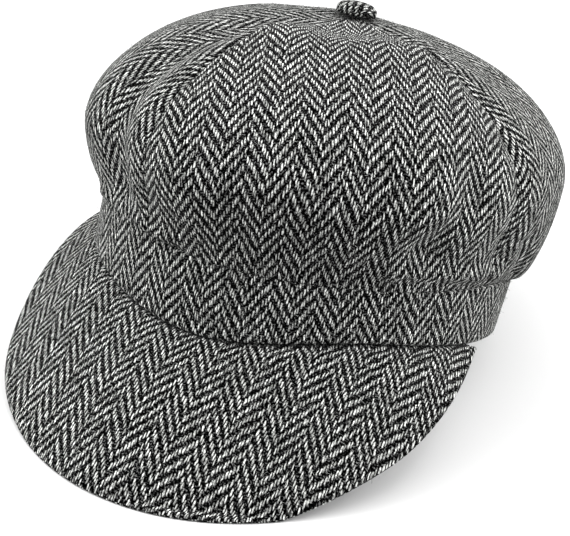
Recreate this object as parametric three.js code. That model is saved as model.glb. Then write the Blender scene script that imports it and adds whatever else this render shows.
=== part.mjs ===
// A full baker boy cap in herringbone tweed, resting on a table by itself.
//
// Millimetres, +Z up. The front of the cap faces -Y, so the wearer's left is +X.
// Angles round the cap are in degrees, start at the front and turn towards the wearer's left.
// The cap is drawn in the plane of its rim, and its group then leans back on the table:
// the rim touches at the back, and the peak holds the front up.

import * as THREE from 'three';

// Driving dimensions: cloth, band and head size
const CLOTH = 2.0; // tweed with its turned-in seam allowance
const GAP = 0.3; // clearance between sewn pieces
const BAND_HALF_WIDTH = 87; // outside of the band, for a head of about 56 cm
const BAND_HALF_LENGTH = 96;

// Driving dimensions: crown
const CROWN_TOP = 122; // height of the top over the plane of the rim
const TOP_SHIFT = { x: -1, y: 1 };
const DOME_ROUNDNESS = 1.95; // 2 is an ellipse, less is more pointed
const DOME_LIFT = 2.0;
const TOP_HOLE_RADIUS = 3.5; // the panels' points are gathered under the button
const PANEL_PUFF = 3.5; // how far the middle of a panel stands out past its seams
const PUFF_POWER = 2.6; // higher keeps the middle of a panel flatter
const SEAM_WIDTH = 7; // half the width of the valley at a seam

// Driving dimensions: peak, a stiff crescent board covered with cloth
const PEAK_REACH = 138.7; // from the middle of the head to the tip, seen from above
const PEAK_SWELL = 12; // how far its sides swell past an ellipse
const PEAK_TIP_POWER = 0.88; // 1 is an ellipse, less is blunter
const PEAK_END = 82; // degrees from the front where the crescent runs out
const PEAK_END_WIDTH = 2; // how far its points stand out of the band
const PEAK_CAMBER = 3.7; // swell of the board between band and edge
const PEAK_THICKNESS = 4.2; // measured upright, at the band
const PEAK_EDGE_THICKNESS = 2.2;

// Driving dimensions: button
const BUTTON_RADIUS = 8.5;
const BUTTON_HEIGHT = 5.2;

// Driving dimensions: how the cap rests
const REST_PITCH = 14.1; // degrees that the front of the rim is held up
const FLOOR_DROP = 24.6; // from the middle of the rim's plane down to the table

// Facets
const PANEL_COLUMNS = 18;
const TUCK_ROWS = 8;
const DOME_ROWS = 15;
const BAND_COLUMNS = 72;
const BAND_ROWS = 2;
const PEAK_COLUMNS = 44;
const PEAK_ROWS = 8;
const BUTTON_SEGMENTS = 24;

const TWEED = { color: '#6a6a68', roughness: 0.95, metalness: 0 };

// One row for each section round the cap, 45 degrees apart, the front first.
// Heights are over the plane of the rim.
// rim: lower edge of the band; crease: where the crown tucks under to the band;
// overhang: how far the crown stands out past the band; widest: height of that part;
// tuck: 2 is a round tuck, more is fuller, less is straighter;
// soft: 1 where the crown swells out of the band in a soft curve and hides its crease, 0 where it tucks under;
// flare: how far the lower edge of the band draws in
const SECTIONS = [
  { at: 'front', rim: -1.5, crease: 27.4, overhang: 18.7, widest: 62.4, tuck: 1.6, soft: 0.5, flare: 0 },
  { at: 'front left', rim: 8.3, crease: 29.8, overhang: 14.5, widest: 65.8, tuck: 1.6, soft: 1, flare: 0 },
  { at: 'left', rim: 5.4, crease: 30.5, overhang: 11.0, widest: 67.5, tuck: 2.2, soft: 0.2, flare: 1.4 },
  { at: 'back left', rim: 1.3, crease: 20.0, overhang: 14.0, widest: 68.5, tuck: 2.6, soft: 0, flare: 2.2 },
  { at: 'back', rim: -4.0, crease: 20.7, overhang: 17.7, widest: 65.2, tuck: 2.1, soft: 0, flare: 0 },
  { at: 'back right', rim: 3.5, crease: 27.5, overhang: 15.6, widest: 62.5, tuck: 2.0, soft: 0, flare: 0 },
  { at: 'right', rim: 16.5, crease: 38.9, overhang: 14.2, widest: 62.1, tuck: 1.8, soft: 0, flare: 0 },
  { at: 'front right', rim: 7.8, crease: 34.1, overhang: 14.3, widest: 62.9, tuck: 1.5, soft: 0, flare: 0 },
];

// One row for each crown seam, and the panel that starts there.
// The soft crown has slumped round a little, so no seam is quite at the front, side or back.
// valley: depth of the pull of the stitching
const SEAMS = [
  { panel: 'crown_panel_front_left', deg: -17.5, valley: 1.2 },
  { panel: 'crown_panel_back_left', deg: 80, valley: 2.0 },
  { panel: 'crown_panel_back_right', deg: 168, valley: 2.0 },
  { panel: 'crown_panel_front_right', deg: 257, valley: 2.0 },
];

// One row for each soft fold or dent of the crown, along a line. up: -1 crease, 0 widest part, 1 top
const FOLDS = [
  { name: 'left dent', fromDeg: 53, fromUp: -0.45, toDeg: 61, toUp: 0.08, width: 9, depth: 4.0 },
  { name: 'front fold', fromDeg: 9, fromUp: -0.6, toDeg: 9, toUp: 0.12, width: 10, depth: 2.0 },
  { name: 'dimple at the top', fromDeg: 8, fromUp: 0.74, toDeg: 22, toUp: 0.72, width: 9, depth: 2.2 },
  { name: 'back left slump', fromDeg: 118, fromUp: -0.5, toDeg: 128, toUp: 0.1, width: 12, depth: 3.0 },
  { name: 'back slump', fromDeg: 197, fromUp: -0.5, toDeg: 210, toUp: 0.1, width: 12, depth: 3.0 },
  { name: 'right fold', fromDeg: 284, fromUp: -0.5, toDeg: 290, toUp: 0.05, width: 11, depth: 2.5 },
  { name: 'seam valley', fromDeg: 330, fromUp: -0.55, toDeg: 327, toUp: 0.62, width: 10.5, depth: 6.0 },
];
const FOLD_ROUND_SCALE = 100; // millimetres along the cloth for one radian round the crown
const FOLD_UP_SCALE = 60; // millimetres along the cloth for one step of up

// One row for each station of the peak's outer edge, evenly spaced between its two points.
// drop: how far the edge hangs below the plane of the rim
const PEAK_EDGE = [
  { at: 'right side', drop: 34.0 },
  { at: 'right front', drop: 54.0 },
  { at: 'tip', drop: 58.2 },
  { at: 'left front', drop: 58.5 },
  { at: 'left side', drop: 29.0 },
];

const radians = THREE.MathUtils.degToRad;
const { clamp, lerp, smoothstep } = THREE.MathUtils;

/** Catmull-Rom curve through four neighbouring values. */
function spline(before, from, to, after, t) {
  const cubic = 3 * (from - to) + after - before;
  const square = 2 * before - 5 * from + 4 * to - after;
  return from + 0.5 * t * (to - before + t * (square + t * cubic));
}

/** A column of the section table at any angle round the cap. */
function section(column, deg) {
  const count = SECTIONS.length;
  const place = THREE.MathUtils.euclideanModulo(deg, 360) / (360 / count);
  const first = Math.floor(place);
  const value = (step) => SECTIONS[(first + step + count) % count][column];
  return spline(value(-1), value(0), value(1), value(2), place - first);
}

/** Point of an upright ellipse round the head, inset from the outside of the band. */
function onBand(deg, inset, height) {
  const angle = radians(deg);
  const x = (BAND_HALF_WIDTH - inset) * Math.sin(angle);
  const y = -(BAND_HALF_LENGTH - inset) * Math.cos(angle);
  return new THREE.Vector3(x, y, height);
}

const TABLE_UP = new THREE.Vector3(0, 0, 1).applyAxisAngle(new THREE.Vector3(1, 0, 0), radians(REST_PITCH));

/** How far a point must be lifted to lie on the table: nothing, for a point over it. */
function liftToTable(point) {
  return Math.max(-FLOOR_DROP - point.dot(TABLE_UP), 0);
}

/** Share of the dome's width and of its lift, for up from 0 at the widest part to 1 at the top. */
function dome(up) {
  const angle = (clamp(up, 0, 1) * Math.PI) / 2;
  const width = Math.max(Math.cos(angle), 0) ** (2 / DOME_ROUNDNESS);
  const lift = Math.sin(angle) ** (2 / DOME_LIFT);
  return { width, lift };
}

/** The crown without puffs and folds. up: -1 crease, 0 widest part, 1 top. */
function smoothCrown(deg, up) {
  const tuck = 2 / section('tuck', deg);
  const soft = clamp(section('soft', deg), 0, 1);
  const share = clamp(1 + up, 0, 1);
  const tuckAngle = (share * Math.PI) / 2;
  const start = CLOTH * (1 - soft); // the edge of the crown lies behind the face of the band, or flush with it
  const swell = lerp(Math.sin(tuckAngle) ** tuck, smoothstep(share, 0, 1), soft);
  const out = (section('overhang', deg) + start) * swell;
  const rise = lerp(1 - Math.max(Math.cos(tuckAngle), 0) ** tuck, share, soft);
  const crease = section('crease', deg) + GAP;
  const widest = section('widest', deg);
  const { width, lift } = dome(up);
  const point = onBand(deg, start - out, 0).multiplyScalar(width);
  point.x += TOP_SHIFT.x * (1 - width);
  point.y += TOP_SHIFT.y * (1 - width);
  point.z = up < 0 ? lerp(crease, widest, rise) : lerp(widest, CROWN_TOP, lift);
  return point;
}

/** Degrees from a seam to the next. */
function panelWidth(start) {
  const next = SEAMS[(start + 1) % SEAMS.length].deg;
  return THREE.MathUtils.euclideanModulo(next - SEAMS[start].deg, 360);
}

/** Distance in millimetres, along the cloth, from a fold's line. */
function distanceToFold(fold, deg, up) {
  const scale = FOLD_ROUND_SCALE * dome(up).width;
  const round = (from) => radians(THREE.MathUtils.euclideanModulo(from + 180, 360) - 180) * scale;
  const rise = (from) => from * FOLD_UP_SCALE;
  const line = new THREE.Vector2(round(fold.toDeg - fold.fromDeg), rise(fold.toUp - fold.fromUp));
  const spot = new THREE.Vector2(round(deg - fold.fromDeg), rise(up - fold.fromUp));
  const along = clamp(spot.dot(line) / line.lengthSq(), 0, 1);
  return spot.addScaledVector(line, -along).length();
}

/** How far the cloth stands out of the smooth crown: puffed panels, pulled seams, folds and dents. */
function relief(deg, up) {
  const first = SEAMS[0].deg;
  const round = THREE.MathUtils.euclideanModulo(deg - first, 360);
  const start = SEAMS.findLastIndex((seam) => seam.deg - first <= round);
  const width = panelWidth(start);
  const past = round - (SEAMS[start].deg - first);
  const across = past / width;
  const tied = smoothstep(up, -1, -0.35) * (1 - smoothstep(up, 0.3, 0.95));
  const sunk = PANEL_PUFF * Math.abs(2 * across - 1) ** PUFF_POWER;
  const nearest = across < 0.5 ? SEAMS[start] : SEAMS[(start + 1) % SEAMS.length];
  const fromSeam = radians(Math.min(past, width - past)) * FOLD_ROUND_SCALE * dome(up).width;
  const valley = nearest.valley * Math.exp(-((fromSeam / SEAM_WIDTH) ** 2));
  const folds = FOLDS.reduce((sum, fold) => {
    const away = distanceToFold(fold, deg, up) / fold.width;
    return sum + fold.depth * Math.exp(-away * away);
  }, 0);
  return -tied * (sunk + valley) - folds * smoothstep(up, -1, -0.7);
}

/** Outward normal of a surface given as a function of an angle and of up. */
function normalOf(surface, deg, up, highest) {
  const upStep = 0.01;
  const degStep = 0.25;
  const low = Math.max(up - upStep, -1);
  const high = Math.min(up + upStep, highest);
  const round = surface(deg + degStep, up).sub(surface(deg - degStep, up));
  const rise = surface(deg, high).sub(surface(deg, low));
  return round.cross(rise).normalize();
}

/** The outside of the crown with all its relief. */
function crownPoint(deg, up) {
  const normal = normalOf(smoothCrown, deg, up, 1);
  return smoothCrown(deg, up).addScaledVector(normal, relief(deg, up));
}

/** Direction through the cloth at a seam: square to the seam and level round the cap. */
function seamNormal(deg, up, highest) {
  const round = new THREE.Vector3(Math.cos(radians(deg)), Math.sin(radians(deg)), 0);
  const rise = crownPoint(deg, Math.min(up + 0.01, highest)).sub(crownPoint(deg, Math.max(up - 0.01, -1)));
  return round.cross(rise).normalize();
}

/** Closes two matching grids of points, the outside and the inside of a wall, into one solid. */
function wall(outside, inside, closesRound) {
  const rows = outside.length;
  const columns = outside[0].length;
  const points = [...outside.flat(), ...inside.flat()];
  const outer = (row, column) => row * columns + (column % columns);
  const inner = (row, column) => rows * columns + outer(row, column);
  const faces = [];
  const quad = (a, b, c, d) => faces.push(a, b, c, a, c, d);
  const lastRow = rows - 1;
  const lastColumn = columns - 1;
  const steps = closesRound ? columns : lastColumn;
  for (let column = 0; column < steps; column += 1) {
    const next = column + 1;
    for (let row = 0; row < lastRow; row += 1) {
      quad(outer(row, column), outer(row, next), outer(row + 1, next), outer(row + 1, column));
      quad(inner(row, next), inner(row, column), inner(row + 1, column), inner(row + 1, next));
    }
    quad(outer(0, column), inner(0, column), inner(0, next), outer(0, next));
    quad(outer(lastRow, column), outer(lastRow, next), inner(lastRow, next), inner(lastRow, column));
  }
  for (let row = 0; row < lastRow && !closesRound; row += 1) {
    const above = row + 1;
    quad(outer(row, 0), outer(above, 0), inner(above, 0), inner(row, 0));
    quad(outer(row, lastColumn), inner(row, lastColumn), inner(above, lastColumn), outer(above, lastColumn));
  }
  const geometry = new THREE.BufferGeometry().setFromPoints(points);
  geometry.setIndex(faces);
  geometry.computeVertexNormals();
  return geometry;
}

/** Makes a named mesh of tweed. */
function tweedMesh(name, geometry) {
  const mesh = new THREE.Mesh(geometry, new THREE.MeshStandardMaterial(TWEED));
  mesh.name = name;
  return mesh;
}

/** Even steps from one value to another, both included. */
function steps(from, to, count) {
  return Array.from({ length: count + 1 }, (_, step) => lerp(from, to, step / count));
}

/** One crown panel, from the seam where it starts to the next, and from the crease to the button. */
function crownPanel({ panel, deg: seamDeg }, start) {
  const topUp = (2 / Math.PI) * Math.acos((TOP_HOLE_RADIUS / BAND_HALF_WIDTH) ** (DOME_ROUNDNESS / 2));
  const ups = [...steps(-1, 0, TUCK_ROWS), ...steps(0, topUp, DOME_ROWS).slice(1)];
  const outside = [];
  const inside = [];
  for (const up of ups) {
    const halfGap = THREE.MathUtils.radToDeg(GAP / 2 / (BAND_HALF_WIDTH * dome(up).width));
    const outsideRow = [];
    const insideRow = [];
    for (const even of steps(0, 1, PANEL_COLUMNS)) {
      const crowded = 0.5 - 0.5 * Math.cos(Math.PI * even); // columns crowd towards the seams
      const across = lerp(even, crowded, 0.5);
      const deg = lerp(seamDeg + halfGap, seamDeg + panelWidth(start) - halfGap, across);
      const point = crownPoint(deg, up);
      const inland = smoothstep(Math.min(across, 1 - across), 0, 0.15);
      const square = normalOf(crownPoint, deg, up, topUp);
      const through = seamNormal(deg, up, topUp).lerp(square, inland).normalize();
      outsideRow.push(point);
      insideRow.push(point.clone().addScaledVector(through, -CLOTH));
    }
    outside.push(outsideRow);
    inside.push(insideRow);
  }
  return tweedMesh(panel, wall(outside, inside, false));
}

/** The head band, an upright cloth wall pressed flat where its back rests. */
function headBand() {
  const angles = steps(0, 360, BAND_COLUMNS).slice(0, -1);
  const rows = steps(0, 1, BAND_ROWS);
  const height = (deg, share) => lerp(section('rim', deg), section('crease', deg), share);
  const spot = (deg, inset, share) => {
    const drawnIn = Math.max(section('flare', deg), 0) * (1 - share);
    const point = onBand(deg, inset + drawnIn, height(deg, share));
    return point.addScaledVector(TABLE_UP, liftToTable(point));
  };
  const side = (inset) => rows.map((share) => angles.map((deg) => spot(deg, inset, share)));
  return tweedMesh('band', wall(side(0), side(CLOTH), true));
}

/** Outer edge of the peak. along: -1 at the right point, 0 at the tip, 1 at the left point. */
function peakEdge(along) {
  const end = onBand(PEAK_END, 0, 0);
  const angle = (along * Math.PI) / 2;
  const forward = Math.max(Math.cos(angle), 0);
  const drops = PEAK_EDGE.map((station) => station.drop);
  const ends = [-PEAK_END, PEAK_END].map((deg) => -section('rim', deg));
  const stations = [ends[0], ...drops, ends[1]];
  const place = Math.min(((along + 1) / 2) * (stations.length - 1), stations.length - 1 - 1e-9);
  const first = Math.floor(place);
  const station = (step) => stations[clamp(first + step, 0, stations.length - 1)];
  const drop = spline(station(-1), station(0), station(1), station(2), place - first);
  const swell = PEAK_SWELL * 4 * forward * (1 - forward);
  const x = Math.sin(angle) * (end.x + PEAK_END_WIDTH + swell);
  const y = lerp(end.y, -PEAK_REACH, forward ** PEAK_TIP_POWER);
  return new THREE.Vector3(x, y, -drop);
}

/** The peak: a strip sewn under the band, then a cambered crescent out to the edge. */
function peakBoard() {
  const alongs = steps(-1, 1, PEAK_COLUMNS).map((even) => Math.sin((even * Math.PI) / 2));
  const outs = steps(1, 0, PEAK_ROWS);
  const seam = (along, inset) => onBand(along * PEAK_END, inset, section('rim', along * PEAK_END) - GAP);
  const board = (along, out) => {
    const top = seam(along, 0).lerp(peakEdge(along), out);
    top.z += PEAK_CAMBER * 4 * out * (1 - out) * (1 - along * along);
    const bottom = top.clone();
    bottom.z -= lerp(PEAK_THICKNESS, PEAK_EDGE_THICKNESS, smoothstep(out, 0.5, 1));
    const lift = liftToTable(bottom);
    return { top: top.addScaledVector(TABLE_UP, lift), bottom: bottom.addScaledVector(TABLE_UP, lift) };
  };
  const strip = (along) => {
    const top = seam(along, CLOTH);
    return { top, bottom: top.clone().setZ(top.z - PEAK_THICKNESS) };
  };
  const rows = [...outs.map((out) => alongs.map((along) => board(along, out))), alongs.map(strip)];
  const top = rows.map((row) => row.map((spot) => spot.top));
  const bottom = rows.map((row) => row.map((spot) => spot.bottom));
  return tweedMesh('peak', wall(top, bottom, false));
}

/** The covered button: a low dome with a rounded rim, seated on the top of the crown. */
function coveredButton() {
  const rimRadius = BUTTON_HEIGHT * 0.35;
  const profile = new THREE.Path();
  profile.moveTo(0, 0);
  profile.lineTo(BUTTON_RADIUS - rimRadius, 0);
  profile.absarc(BUTTON_RADIUS - rimRadius, rimRadius, rimRadius, -Math.PI / 2, Math.PI / 4, false);
  profile.quadraticCurveTo(BUTTON_RADIUS * 0.55, BUTTON_HEIGHT, 0, BUTTON_HEIGHT);
  const geometry = new THREE.LatheGeometry(profile.getPoints(5), BUTTON_SEGMENTS);
  geometry.rotateX(Math.PI / 2);
  const button = tweedMesh('button', geometry);
  button.position.set(TOP_SHIFT.x, TOP_SHIFT.y, CROWN_TOP + GAP);
  return button;
}

const leaning = new THREE.Group();
leaning.add(...SEAMS.map(crownPanel), headBand(), peakBoard(), coveredButton());
leaning.rotation.x = radians(-REST_PITCH);

const cap = new THREE.Group();
cap.add(leaning);
cap.updateMatrixWorld(true);
const box = new THREE.Box3().setFromObject(cap, true);
leaning.position.set(-(box.min.x + box.max.x) / 2, -(box.min.y + box.max.y) / 2, -box.min.z);

export default cap;
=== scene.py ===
"""Looks for a full baker boy cap in herringbone tweed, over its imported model.

The cap is drawn in its own frame, in millimetres: the plane of the rim is level, the front faces -Y
and +X is the wearer's left. Angles round the cap are in degrees from the front, towards the wearer's left.
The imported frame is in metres, with the cap leaning back on its table.
"""

import logging
import math
from dataclasses import dataclass, field
from enum import Enum

import bpy
import numpy as np
from bpy.types import ID, Material, NodeSocket, NodeTree, Object
from mathutils import Matrix, Vector


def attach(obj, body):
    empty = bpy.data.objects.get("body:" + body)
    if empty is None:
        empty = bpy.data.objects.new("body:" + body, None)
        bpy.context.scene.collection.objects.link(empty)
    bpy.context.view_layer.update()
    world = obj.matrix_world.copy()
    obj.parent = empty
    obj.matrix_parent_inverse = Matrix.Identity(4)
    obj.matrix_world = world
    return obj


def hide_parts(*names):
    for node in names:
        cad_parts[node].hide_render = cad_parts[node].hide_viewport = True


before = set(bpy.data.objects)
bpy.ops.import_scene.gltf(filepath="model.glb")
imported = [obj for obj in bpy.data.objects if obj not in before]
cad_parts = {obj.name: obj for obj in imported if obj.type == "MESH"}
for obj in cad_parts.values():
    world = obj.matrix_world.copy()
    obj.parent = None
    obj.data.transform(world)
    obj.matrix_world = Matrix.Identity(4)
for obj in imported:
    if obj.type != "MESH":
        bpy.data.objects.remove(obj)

log = logging.getLogger("baker_boy_cap")
Grid = np.ndarray

MM = 0.001
PHOTO_WIDTH = 570
PHOTO_HEIGHT = 536
CLOTH_MAP = "cloth_mm"
OUTSIDE = "outside"
BODY = "root"

# Where a lay's bow and fan are stated, in millimetres, and the steps and rounds that lay cloth flat
PULL_REACH = 100.0
FLAT_STEPS = (14, 4)
FLAT_ROUNDS = 400

# Kinds of node used more than once
MATH = "ShaderNodeMath"
VECTOR = "ShaderNodeVectorMath"
NOISE = "ShaderNodeTexNoise"
RANGE = "ShaderNodeMapRange"
MIX = "ShaderNodeMix"
PRINCIPLED = "ShaderNodeBsdfPrincipled"
SURFACE = "ShaderNodeOutputMaterial"


class Piece(Enum):
    """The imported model's nodes, each of which one dressed piece replaces."""

    FRONT_LEFT = "crown_panel_front_left"
    BACK_LEFT = "crown_panel_back_left"
    BACK_RIGHT = "crown_panel_back_right"
    FRONT_RIGHT = "crown_panel_front_right"
    BAND = "band"
    PEAK = "peak"
    BUTTON = "button"


class Held(Enum):
    """How a sheet of cloth is held."""

    GATHERED = "gathered"
    STRETCHED = "stretched"


@dataclass(frozen=True)
class Section:
    """One upright section of the cap, in millimetres over the plane of the rim.

    rim is the band's lower edge, crease is where the crown tucks under, overhang is how far the crown
    stands out past the band, and widest is the height of that part. tuck is 2 for a round tuck and more
    for a fuller one. soft is 1 where the crown swells out of the band and hides its crease. flare draws in
    the band's lower edge.
    """

    rim: float
    crease: float
    overhang: float
    widest: float
    tuck: float
    soft: float
    flare: float


# Every 45 degrees, with rim, crease, overhang, widest, tuck, soft and flare
SECTIONS: tuple[Section, ...] = (
    Section(-1.5, 27.4, 18.7, 62.4, 1.6, 0.5, 0),  # front
    Section(8.3, 29.8, 14.5, 65.8, 1.6, 1, 0),  # front left
    Section(5.4, 30.5, 11.0, 67.5, 2.2, 0.2, 1.4),  # left
    Section(1.3, 20.0, 14.0, 68.5, 2.6, 0, 2.2),  # back left
    Section(-4.0, 20.7, 17.7, 65.2, 2.1, 0, 0),  # back
    Section(3.5, 27.5, 15.6, 62.5, 2.0, 0, 0),  # back right
    Section(16.5, 38.9, 14.2, 62.1, 1.8, 0, 0),  # right
    Section(7.8, 34.1, 14.3, 62.9, 1.5, 0, 0),  # front right
)


@dataclass(frozen=True)
class Lay:
    """How a piece was laid on the cloth when it was cut.

    turn is in degrees, across slides it over the weave in millimetres, and ease is its stretch across.
    The cloth was also pulled a little: shear slants it, bow bends its columns and fan spreads them, both by
    their millimetres at PULL_REACH from the piece's middle.
    """

    turn: float = 0.0
    across: float = 0.0
    ease: float = 1.0
    shear: float = 0.0
    bow: float = 0.0
    fan: float = 0.0

    def of(self, flat: Grid) -> Grid:
        """Places flat points of the piece on the cloth.

        Args:
            flat: Points of the flat piece in millimetres, with a last axis of two.

        Returns:
            Their places on the woven cloth, in millimetres.
        """
        angle = math.radians(self.turn)
        x, y = flat[..., 0], flat[..., 1]
        across = self.ease * (x * math.cos(angle) - y * math.sin(angle))
        across = across + self.bow * (y / PULL_REACH) ** 2 + self.fan * x * y / PULL_REACH**2
        along = x * math.sin(angle) + y * math.cos(angle) + self.shear * across
        return np.stack([across + self.across, along], axis=-1)


@dataclass(frozen=True)
class Seam:
    """One crown seam, and the panel that starts there. valley is the depth of the pull of the stitching."""

    panel: Piece
    deg: float
    valley: float
    lay: Lay


SEAMS: tuple[Seam, ...] = (
    Seam(Piece.FRONT_LEFT, -17.5, 1.2, Lay(-6.2, across=2.7, ease=0.99, shear=0.06, bow=-5.2, fan=3.1)),
    Seam(Piece.BACK_LEFT, 80.0, 2.0, Lay(15.3, across=14.4, ease=1.04, shear=-0.07, fan=2.5)),
    Seam(Piece.BACK_RIGHT, 168.0, 2.0, Lay()),
    Seam(Piece.FRONT_RIGHT, 257.0, 2.0, Lay(-4.1, across=12.8, ease=1.06, shear=-0.04, fan=2.1)),
)


@dataclass(frozen=True)
class Fold:
    """A soft fold or dent of the crown along a line. With a depth under 0 it stands out.

    up is -1 at the crease, 0 at the widest part and 1 on top.
    """

    from_deg: float
    from_up: float
    to_deg: float
    to_up: float
    width: float
    depth: float


# Angle and height of both ends, width and depth. The last five are small forms of the looks only
FOLDS: tuple[Fold, ...] = (
    Fold(53, -0.45, 61, 0.08, 9, 4.0),  # dent on the left
    Fold(9, -0.6, 9, 0.12, 10, 2.0),  # fold at the front
    Fold(8, 0.74, 22, 0.72, 9, 2.2),  # dimple at the top
    Fold(118, -0.5, 128, 0.1, 12, 3.0),  # slump at the back left
    Fold(197, -0.5, 210, 0.1, 12, 3.0),  # slump at the back right
    Fold(284, -0.5, 290, 0.05, 11, 2.5),  # fold on the right
    Fold(330, -0.55, 327, 0.62, 10.5, 6.0),  # deep valley beside the front seam
    Fold(46, -0.78, 82, -0.74, 6.5, -2.6),  # roll over the crease on the left
    Fold(318, -0.80, 350, -0.84, 7.0, -4.0),  # roll over the crease on the right
    Fold(97, -0.85, 92, -0.35, 7.0, 3.2),  # pinch that sets off the hanging lobe on the left
    Fold(-15, 0.69, 62, 0.71, 8.0, -3.4),  # ridge in front of the button
    Fold(-25, 0.85, 70, 0.85, 7.5, 3.6),  # dip before the button
)


def spline(before: Grid, start: Grid, end: Grid, after: Grid, t: Grid) -> Grid:
    """Catmull-Rom curve between two of four neighbouring values.

    Args:
        before: Value before the stretch.
        start: Value where the stretch starts.
        end: Value where it ends.
        after: Value after it.
        t: Share of the stretch, from 0 to 1.

    Returns:
        The curve's values.
    """
    cubic = 3 * (start - end) + after - before
    square = 2 * before - 5 * start + 4 * end - after
    return start + 0.5 * t * (end - before + t * (square + t * cubic))


def smoothstep(x: Grid, low: float, high: float) -> Grid:
    """Rises smoothly from 0 at low to 1 at high."""
    t = np.clip((x - low) / (high - low), 0, 1)
    return t * t * (3 - 2 * t)


def running_length(points: Grid, axis: int) -> Grid:
    """Length along a grid's lines from their first points.

    Args:
        points: Grid of points with a last axis of three.
        axis: The grid axis that the lines run along.

    Returns:
        The length at each point of the grid.
    """
    step = np.linalg.norm(np.diff(points, axis=axis), axis=-1)
    return np.insert(np.cumsum(step, axis=axis), 0, 0, axis=axis)


@dataclass(frozen=True)
class CapForm:
    """The cap's main form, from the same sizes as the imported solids, in millimetres.

    Slack, puffs and folds are full from a share of the way up. Slack and puffs fade between two more.
    """

    cloth: float = 2.0
    gap: float = 0.3
    half_width: float = 87.0
    half_length: float = 96.0
    crown_top: float = 122.0
    top_shift: tuple[float, float] = (-1.0, 1.0)
    dome_roundness: float = 1.95
    dome_lift: float = 2.0
    puff: float = 3.5
    puff_power: float = 2.6
    seam_width: float = 7.0
    seam_groove: float = 0.7
    seam_groove_width: float = 1.2
    pucker: float = 0.35
    pucker_length: float = 13.0
    slack: float = 0.45
    slack_seed: int = 11
    slack_waves: int = 9
    slack_turns: tuple[int, int] = (4, 13)
    slack_rows: float = 7.0
    slack_from: float = -0.8
    slack_fades: tuple[float, float] = (0.7, 0.97)
    puff_from: float = -0.35
    puff_fades: tuple[float, float] = (0.3, 0.95)
    fold_from: float = -0.7
    round_scale: float = 100.0
    up_scale: float = 60.0
    pitch: float = 14.1
    floor_drop: float = 24.6
    rim_centre: tuple[float, float, float] = (1.73, 11.81, 24.6)

    def section(self, column: str, deg: Grid) -> Grid:
        """A column of the section table at any angle.

        Args:
            column: Name of the column.
            deg: Angles round the cap.

        Returns:
            The column's values there.
        """
        values = np.array([getattr(row, column) for row in SECTIONS])
        count = len(values)
        place = np.mod(deg, 360) / (360 / count)
        first = np.floor(place).astype(int)
        near = [values[(first + step) % count] for step in (-1, 0, 1, 2)]
        return spline(*near, place - first)

    def on_band(self, deg: Grid, inset: Grid, height: Grid) -> Grid:
        """Points of an upright ellipse round the head.

        Args:
            deg: Angles round the cap.
            inset: How far inside the band's outside.
            height: Heights over the plane of the rim.

        Returns:
            The points.
        """
        angle = np.radians(deg)
        x = (self.half_width - inset) * np.sin(angle)
        y = -(self.half_length - inset) * np.cos(angle)
        return np.stack(np.broadcast_arrays(x, y, height), axis=-1).astype(float)

    def dome_width(self, up: Grid) -> Grid:
        """Share of the crown's width that is left, above its widest part."""
        return np.maximum(np.cos(np.clip(up, 0, 1) * np.pi / 2), 0) ** (2 / self.dome_roundness)

    def smooth_crown(self, deg: Grid, up: Grid) -> Grid:
        """The crown without puffs and folds.

        Args:
            deg: Angles round the cap.
            up: -1 at the crease, 0 at the widest part, 1 on top.

        Returns:
            Points of the crown.
        """
        deg, up = np.broadcast_arrays(np.asarray(deg, float), np.asarray(up, float))
        tuck = 2 / self.section("tuck", deg)
        soft = np.clip(self.section("soft", deg), 0, 1)
        share = np.clip(1 + up, 0, 1)
        tuck_angle = share * np.pi / 2
        start = self.cloth * (1 - soft)
        swell = np.sin(tuck_angle) ** tuck * (1 - soft) + smoothstep(share, 0, 1) * soft
        out = (self.section("overhang", deg) + start) * swell
        rise = (1 - np.maximum(np.cos(tuck_angle), 0) ** tuck) * (1 - soft) + share * soft
        crease = self.section("crease", deg) + self.gap
        widest = self.section("widest", deg)
        lift = np.sin(np.clip(up, 0, 1) * np.pi / 2) ** (2 / self.dome_lift)
        low = crease + (widest - crease) * rise
        high = widest + (self.crown_top - widest) * lift
        width = self.dome_width(up)
        point = self.on_band(deg, start - out, np.zeros_like(up)) * width[..., None]
        point[..., 0] += self.top_shift[0] * (1 - width)
        point[..., 1] += self.top_shift[1] * (1 - width)
        point[..., 2] = np.where(up < 0, low, high)
        return point

    def smooth_normal(self, deg: Grid, up: Grid) -> Grid:
        """Outward normals of the smooth crown.

        Args:
            deg: Angles round the cap.
            up: -1 at the crease, 0 at the widest part, 1 on top.

        Returns:
            Vectors of length 1.
        """
        turn = 0.25
        step = 0.01
        highest = 0.999
        low = np.maximum(up - step, -1)
        high = np.minimum(up + step, highest)
        across = self.smooth_crown(deg + turn, up) - self.smooth_crown(deg - turn, up)
        rise = self.smooth_crown(deg, high) - self.smooth_crown(deg, low)
        normal = np.cross(across, rise)
        return normal / np.linalg.norm(normal, axis=-1, keepdims=True)

    def fold_depth(self, deg: Grid, up: Grid) -> Grid:
        """Depth of all the folds and dents together.

        Args:
            deg: Angles round the cap.
            up: -1 at the crease, 0 at the widest part, 1 on top.

        Returns:
            The depth, which fades to nothing at the crease.
        """
        total = np.zeros(np.broadcast(deg, up).shape)
        scale = self.round_scale * self.dome_width(up)
        for fold in FOLDS:
            line_x = np.radians((fold.to_deg - fold.from_deg + 180) % 360 - 180) * scale
            line_y = (fold.to_up - fold.from_up) * self.up_scale
            x = np.radians((deg - fold.from_deg + 180) % 360 - 180) * scale
            y = (up - fold.from_up) * self.up_scale
            along = np.clip((x * line_x + y * line_y) / (line_x**2 + line_y**2), 0, 1)
            away = np.hypot(x - along * line_x, y - along * line_y) / fold.width
            total = total + fold.depth * np.exp(-(away**2))
        return total * smoothstep(up, -1, self.fold_from)

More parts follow.
